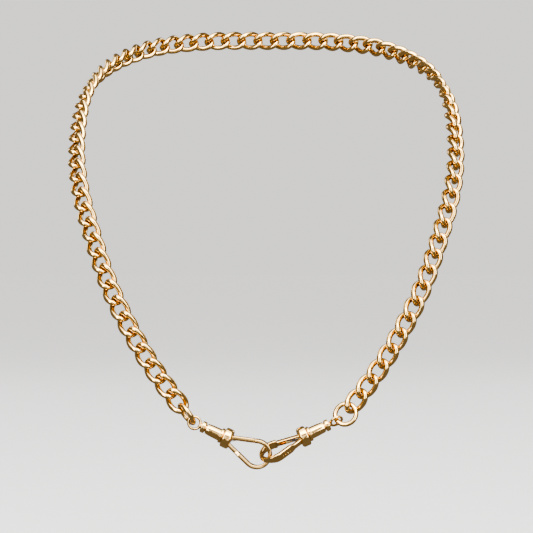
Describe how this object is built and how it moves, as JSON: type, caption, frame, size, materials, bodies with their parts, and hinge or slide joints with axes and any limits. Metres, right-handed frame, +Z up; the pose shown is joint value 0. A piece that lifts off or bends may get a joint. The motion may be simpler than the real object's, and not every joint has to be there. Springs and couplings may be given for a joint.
{
  "type": "pocket watch chain",
  "caption": "Gold curb-link pocket watch chain worn as a necklet: twisted oval links, plain end rings and two swivel dog clips hooked together at the front.",
  "frame": {"origin": "at the nape, on the inner side of the chain's middle link, where the neck carries it", "axes": "+Z up, along the loop's longest extent; the wearer faces -Y, so the clips hang at -Y and -Z; +X to the wearer's left; the loop is thinnest along Y"},
  "size_m": [0.1298, 0.1151, 0.1464],
  "materials": {
    "chain_gold": "polished",
    "ring_gold": "polished",
    "clip_gold": "polished",
    "spring_steel": "satin"
  },
  "bodies": {
    "root": {"back_links": "chain_gold"},
    "left_link_01": {"left_link_01": "chain_gold"},
    "left_link_02": {"left_link_02": "chain_gold"},
    "left_link_03": {"left_link_03": "chain_gold"},
    "left_link_04": {"left_link_04": "chain_gold"},
    "left_link_05": {"left_link_05": "chain_gold"},
    "left_link_06": {"left_link_06": "chain_gold"},
    "left_link_07": {"left_link_07": "chain_gold"},
    "left_link_08": {"left_link_08": "chain_gold"},
    "left_link_09": {"left_link_09": "chain_gold"},
    "left_link_10": {"left_link_10": "chain_gold"},
    "left_link_11": {"left_link_11": "chain_gold"},
    "left_link_12": {"left_link_12": "chain_gold"},
    "left_link_13": {"left_link_13": "chain_gold"},
    "left_link_14": {"left_link_14": "chain_gold"},
    "left_link_15": {"left_link_15": "chain_gold"},
    "left_link_16": {"left_link_16": "chain_gold"},
    "left_link_17": {"left_link_17": "chain_gold"},
    "left_link_18": {"left_link_18": "chain_gold"},
    "left_link_19": {"left_link_19": "chain_gold"},
    "left_end_ring": {"left_end_ring": "ring_gold"},
    "left_eye_post": {"left_eye": "clip_gold", "left_rivet_head": "clip_gold"},
    "left_clip": {"left_barrel_cap": "clip_gold", "left_barrel": "clip_gold", "left_collar": "clip_gold", "left_hook": "clip_gold", "left_gate_pin": "clip_gold", "left_gate_spring": "spring_steel"},
    "left_gate_body": {"left_gate": "clip_gold"},
    "right_link_01": {"right_link_01": "chain_gold"},
    "right_link_02": {"right_link_02": "chain_gold"},
    "right_link_03": {"right_link_03": "chain_gold"},
    "right_link_04": {"right_link_04": "chain_gold"},
    "right_link_05": {"right_link_05": "chain_gold"},
    "right_link_06": {"right_link_06": "chain_gold"},
    "right_link_07": {"right_link_07": "chain_gold"},
    "right_link_08": {"right_link_08": "chain_gold"},
    "right_link_09": {"right_link_09": "chain_gold"},
    "right_link_10": {"right_link_10": "chain_gold"},
    "right_link_11": {"right_link_11": "chain_gold"},
    "right_link_12": {"right_link_12": "chain_gold"},
    "right_link_13": {"right_link_13": "chain_gold"},
    "right_link_14": {"right_link_14": "chain_gold"},
    "right_link_15": {"right_link_15": "chain_gold"},
    "right_link_16": {"right_link_16": "chain_gold"},
    "right_link_17": {"right_link_17": "chain_gold"},
    "right_link_18": {"right_link_18": "chain_gold"},
    "right_link_19": {"right_link_19": "chain_gold"},
    "right_end_ring": {"right_end_ring": "ring_gold"},
    "right_eye_post": {"right_eye": "clip_gold", "right_rivet_head": "clip_gold"},
    "right_clip": {"right_barrel_cap": "clip_gold", "right_barrel": "clip_gold", "right_collar": "clip_gold", "right_hook": "clip_gold", "right_gate_pin": "clip_gold", "right_gate_spring": "spring_steel"},
    "right_gate_body": {"right_gate": "clip_gold"}
  },
  "joints": [
    {"name": "left_lift_01", "type": "hinge", "parent": "root", "child": "left_link_01", "pos_m": [-0.06193, -0.06071, -0.03375], "axis": [1, 0, 0], "range_deg": [-10, 0]},
    {"name": "left_lift_02", "type": "hinge", "parent": "left_link_01", "child": "left_link_02", "pos_m": [-0.062, -0.06483, -0.03783], "axis": [1, 0, 0], "range_deg": [-10, 0]},
    {"name": "left_lift_03", "type": "hinge", "parent": "left_link_02", "child": "left_link_03", "pos_m": [-0.0619, -0.06875, -0.04211], "axis": [1, 0, 0], "range_deg": [-10, 0]},
    {"name": "left_lift_04", "type": "hinge", "parent": "left_link_03", "child": "left_link_04", "pos_m": [-0.06153, -0.07239, -0.04661], "axis": [1, 0, 0], "range_deg": [-10, 0]},
    {"name": "left_lift_05", "type": "hinge", "parent": "left_link_04", "child": "left_link_05", "pos_m": [-0.06084, -0.07579, -0.05126], "axis": [1, 0, 0], "range_deg": [-10, 0]},
    {"name": "left_lift_06", "type": "hinge", "parent": "left_link_05", "child": "left_link_06", "pos_m": [-0.05982, -0.07899, -0.05599], "axis": [1, 0, 0], "range_deg": [-10, 0]},
    {"name": "left_lift_07", "type": "hinge", "parent": "left_link_06", "child": "left_link_07", "pos_m": [-0.05849, -0.08195, -0.06079], "axis": [1, 0, 0], "range_deg": [-10, 0]},
    {"name": "left_lift_08", "type": "hinge", "parent": "left_link_07", "child": "left_link_08", "pos_m": [-0.05695, -0.08471, -0.06566], "axis": [1, 0, 0], "range_deg": [-10, 0]},
    {"name": "left_lift_09", "type": "hinge", "parent": "left_link_08", "child": "left_link_09", "pos_m": [-0.0553, -0.0873, -0.07058], "axis": [1, 0, 0], "range_deg": [-10, 0]},
    {"name": "left_lift_10", "type": "hinge", "parent": "left_link_09", "child": "left_link_10", "pos_m": [-0.05361, -0.08977, -0.07555], "axis": [1, 0, 0], "range_deg": [-10, 0]},
    {"name": "left_lift_11", "type": "hinge", "parent": "left_link_10", "child": "left_link_11", "pos_m": [-0.05182, -0.09209, -0.08055], "axis": [1, 0, 0], "range_deg": [-10, 0]},
    {"name": "left_lift_12", "type": "hinge", "parent": "left_link_11", "child": "left_link_12", "pos_m": [-0.04982, -0.0942, -0.08557], "axis": [1, 0, 0], "range_deg": [-10, 0]},
    {"name": "left_lift_13", "type": "hinge", "parent": "left_link_12", "child": "left_link_13", "pos_m": [-0.04755, -0.09605, -0.09058], "axis": [1, 0, 0], "range_deg": [-10, 0]},
    {"name": "left_lift_14", "type": "hinge", "parent": "left_link_13", "child": "left_link_14", "pos_m": [-0.04505, -0.09763, -0.09556], "axis": [1, 0, 0], "range_deg": [-10, 0]},
    {"name": "left_lift_15", "type": "hinge", "parent": "left_link_14", "child": "left_link_15", "pos_m": [-0.04236, -0.09899, -0.10052], "axis": [1, 0, 0], "range_deg": [-10, 0]},
    {"name": "left_lift_16", "type": "hinge", "parent": "left_link_15", "child": "left_link_16", "pos_m": [-0.03951, -0.1002, -0.10542], "axis": [1, 0, 0], "range_deg": [-10, 0]},
    {"name": "left_lift_17", "type": "hinge", "parent": "left_link_16", "child": "left_link_17", "pos_m": [-0.03649, -0.10126, -0.11026], "axis": [1, 0, 0], "range_deg": [-10, 0]},
    {"name": "left_lift_18", "type": "hinge", "parent": "left_link_17", "child": "left_link_18", "pos_m": [-0.03322, -0.10207, -0.11498], "axis": [1, 0, 0], "range_deg": [-10, 0]},
    {"name": "left_lift_19", "type": "hinge", "parent": "left_link_18", "child": "left_link_19", "pos_m": [-0.02979, -0.10271, -0.11961], "axis": [1, 0, 0], "range_deg": [-10, 0]},
    {"name": "left_ring_lift", "type": "hinge", "parent": "left_link_19", "child": "left_end_ring", "pos_m": [-0.02625, -0.10326, -0.12418], "axis": [1, 0, 0], "range_deg": [-15, 0]},
    {"name": "left_eye_lift", "type": "hinge", "parent": "left_end_ring", "child": "left_eye_post", "pos_m": [-0.02262, -0.10414, -0.12846], "axis": [1, 0, 0], "range_deg": [-25, 0]},
    {"name": "left_swivel", "type": "hinge", "parent": "left_eye_post", "child": "left_clip", "pos_m": [-0.01948, -0.10444, -0.13005], "axis": [0.9037, -0.0725, -0.4219], "range_deg": [-5, 25]},
    {"name": "left_gate_hinge", "type": "hinge", "parent": "left_clip", "child": "left_gate_body", "pos_m": [-0.01171, -0.10511, -0.13308], "axis": [0.1163, 0.9901, 0.079], "range_deg": [0, 22], "stiffness_Nm_per_rad": 0.0004, "springref_deg": -20.05, "deforming": ["left_gate_spring"]},
    {"name": "right_lift_01", "type": "hinge", "parent": "root", "child": "right_link_01", "pos_m": [0.06193, -0.06071, -0.03375], "axis": [1, 0, 0], "range_deg": [-10, 0]},
    {"name": "right_lift_02", "type": "hinge", "parent": "right_link_01", "child": "right_link_02", "pos_m": [0.062, -0.06483, -0.03783], "axis": [1, 0, 0], "range_deg": [-10, 0]},
    {"name": "right_lift_03", "type": "hinge", "parent": "right_link_02", "child": "right_link_03", "pos_m": [0.0619, -0.06875, -0.04211], "axis": [1, 0, 0], "range_deg": [-10, 0]},
    {"name": "right_lift_04", "type": "hinge", "parent": "right_link_03", "child": "right_link_04", "pos_m": [0.06153, -0.07239, -0.04661], "axis": [1, 0, 0], "range_deg": [-10, 0]},
    {"name": "right_lift_05", "type": "hinge", "parent": "right_link_04", "child": "right_link_05", "pos_m": [0.06084, -0.07579, -0.05126], "axis": [1, 0, 0], "range_deg": [-10, 0]},
    {"name": "right_lift_06", "type": "hinge", "parent": "right_link_05", "child": "right_link_06", "pos_m": [0.05982, -0.07899, -0.05599], "axis": [1, 0, 0], "range_deg": [-10, 0]},
    {"name": "right_lift_07", "type": "hinge", "parent": "right_link_06", "child": "right_link_07", "pos_m": [0.05849, -0.08195, -0.06079], "axis": [1, 0, 0], "range_deg": [-10, 0]},
    {"name": "right_lift_08", "type": "hinge", "parent": "right_link_07", "child": "right_link_08", "pos_m": [0.05695, -0.08471, -0.06566], "axis": [1, 0, 0], "range_deg": [-10, 0]},
    {"name": "right_lift_09", "type": "hinge", "parent": "right_link_08", "child": "right_link_09", "pos_m": [0.0553, -0.0873, -0.07058], "axis": [1, 0, 0], "range_deg": [-10, 0]},
    {"name": "right_lift_10", "type": "hinge", "parent": "right_link_09", "child": "right_link_10", "pos_m": [0.05361, -0.08977, -0.07555], "axis": [1, 0, 0], "range_deg": [-10, 0]},
    {"name": "right_lift_11", "type": "hinge", "parent": "right_link_10", "child": "right_link_11", "pos_m": [0.05182, -0.09209, -0.08055], "axis": [1, 0, 0], "range_deg": [-10, 0]},
    {"name": "right_lift_12", "type": "hinge", "parent": "right_link_11", "child": "right_link_12", "pos_m": [0.04982, -0.0942, -0.08557], "axis": [1, 0, 0], "range_deg": [-10, 0]},
    {"name": "right_lift_13", "type": "hinge", "parent": "right_link_12", "child": "right_link_13", "pos_m": [0.04755, -0.09605, -0.09058], "axis": [1, 0, 0], "range_deg": [-10, 0]},
    {"name": "right_lift_14", "type": "hinge", "parent": "right_link_13", "child": "right_link_14", "pos_m": [0.04505, -0.09763, -0.09556], "axis": [1, 0, 0], "range_deg": [-10, 0]},
    {"name": "right_lift_15", "type": "hinge", "parent": "right_link_14", "child": "right_link_15", "pos_m": [0.04236, -0.09899, -0.10052], "axis": [1, 0, 0], "range_deg": [-10, 0]},
    {"name": "right_lift_16", "type": "hinge", "parent": "right_link_15", "child": "right_link_16", "pos_m": [0.03951, -0.1002, -0.10542], "axis": [1, 0, 0], "range_deg": [-10, 0]},
    {"name": "right_lift_17", "type": "hinge", "parent": "right_link_16", "child": "right_link_17", "pos_m": [0.03649, -0.10126, -0.11026], "axis": [1, 0, 0], "range_deg": [-10, 0]},
    {"name": "right_lift_18", "type": "hinge", "parent": "right_link_17", "child": "right_link_18", "pos_m": [0.03322, -0.10207, -0.11498], "axis": [1, 0, 0], "range_deg": [-10, 0]},
    {"name": "right_lift_19", "type": "hinge", "parent": "right_link_18", "child": "right_link_19", "pos_m": [0.02979, -0.10271, -0.11961], "axis": [1, 0, 0], "range_deg": [-10, 0]},
    {"name": "right_ring_lift", "type": "hinge", "parent": "right_link_19", "child": "right_end_ring", "pos_m": [0.02625, -0.10326, -0.12418], "axis": [1, 0, 0], "range_deg": [-15, 0]},
    {"name": "right_eye_lift", "type": "hinge", "parent": "right_end_ring", "child": "right_eye_post", "pos_m": [0.02214, -0.10318, -0.12802], "axis": [1, 0, 0], "range_deg": [-25, 0]},
    {"name": "right_swivel", "type": "hinge", "parent": "right_eye_post", "child": "right_clip", "pos_m": [0.01898, -0.10353, -0.12957], "axis": [-0.8995, -0.1169, -0.421], "range_deg": [-5, 25]},
    {"name": "right_gate_hinge", "type": "hinge", "parent": "right_clip", "child": "right_gate_body", "pos_m": [0.01131, -0.10403, -0.13287], "axis": [-0.3239, -0.4683, 0.8221], "range_deg": [0, 22], "stiffness_Nm_per_rad": 0.0004, "springref_deg": -20.05, "deforming": ["right_gate_spring"]}
  ],
  "couplings": [
    {"joint": "right_lift_01", "follows": "left_lift_01", "ratio": 1},
    {"joint": "right_lift_02", "follows": "left_lift_02", "ratio": 1},
    {"joint": "right_lift_03", "follows": "left_lift_03", "ratio": 1},
    {"joint": "right_lift_04", "follows": "left_lift_04", "ratio": 1},
    {"joint": "right_lift_05", "follows": "left_lift_05", "ratio": 1},
    {"joint": "right_lift_06", "follows": "left_lift_06", "ratio": 1},
    {"joint": "right_lift_07", "follows": "left_lift_07", "ratio": 1},
    {"joint": "right_lift_08", "follows": "left_lift_08", "ratio": 1},
    {"joint": "right_lift_09", "follows": "left_lift_09", "ratio": 1},
    {"joint": "right_lift_10", "follows": "left_lift_10", "ratio": 1},
    {"joint": "right_lift_11", "follows": "left_lift_11", "ratio": 1},
    {"joint": "right_lift_12", "follows": "left_lift_12", "ratio": 1},
    {"joint": "right_lift_13", "follows": "left_lift_13", "ratio": 1},
    {"joint": "right_lift_14", "follows": "left_lift_14", "ratio": 1},
    {"joint": "right_lift_15", "follows": "left_lift_15", "ratio": 1},
    {"joint": "right_lift_16", "follows": "left_lift_16", "ratio": 1},
    {"joint": "right_lift_17", "follows": "left_lift_17", "ratio": 1},
    {"joint": "right_lift_18", "follows": "left_lift_18", "ratio": 1},
    {"joint": "right_lift_19", "follows": "left_lift_19", "ratio": 1},
    {"joint": "right_ring_lift", "follows": "left_ring_lift", "ratio": 1},
    {"joint": "right_eye_lift", "follows": "left_eye_lift", "ratio": 1}
  ]
}
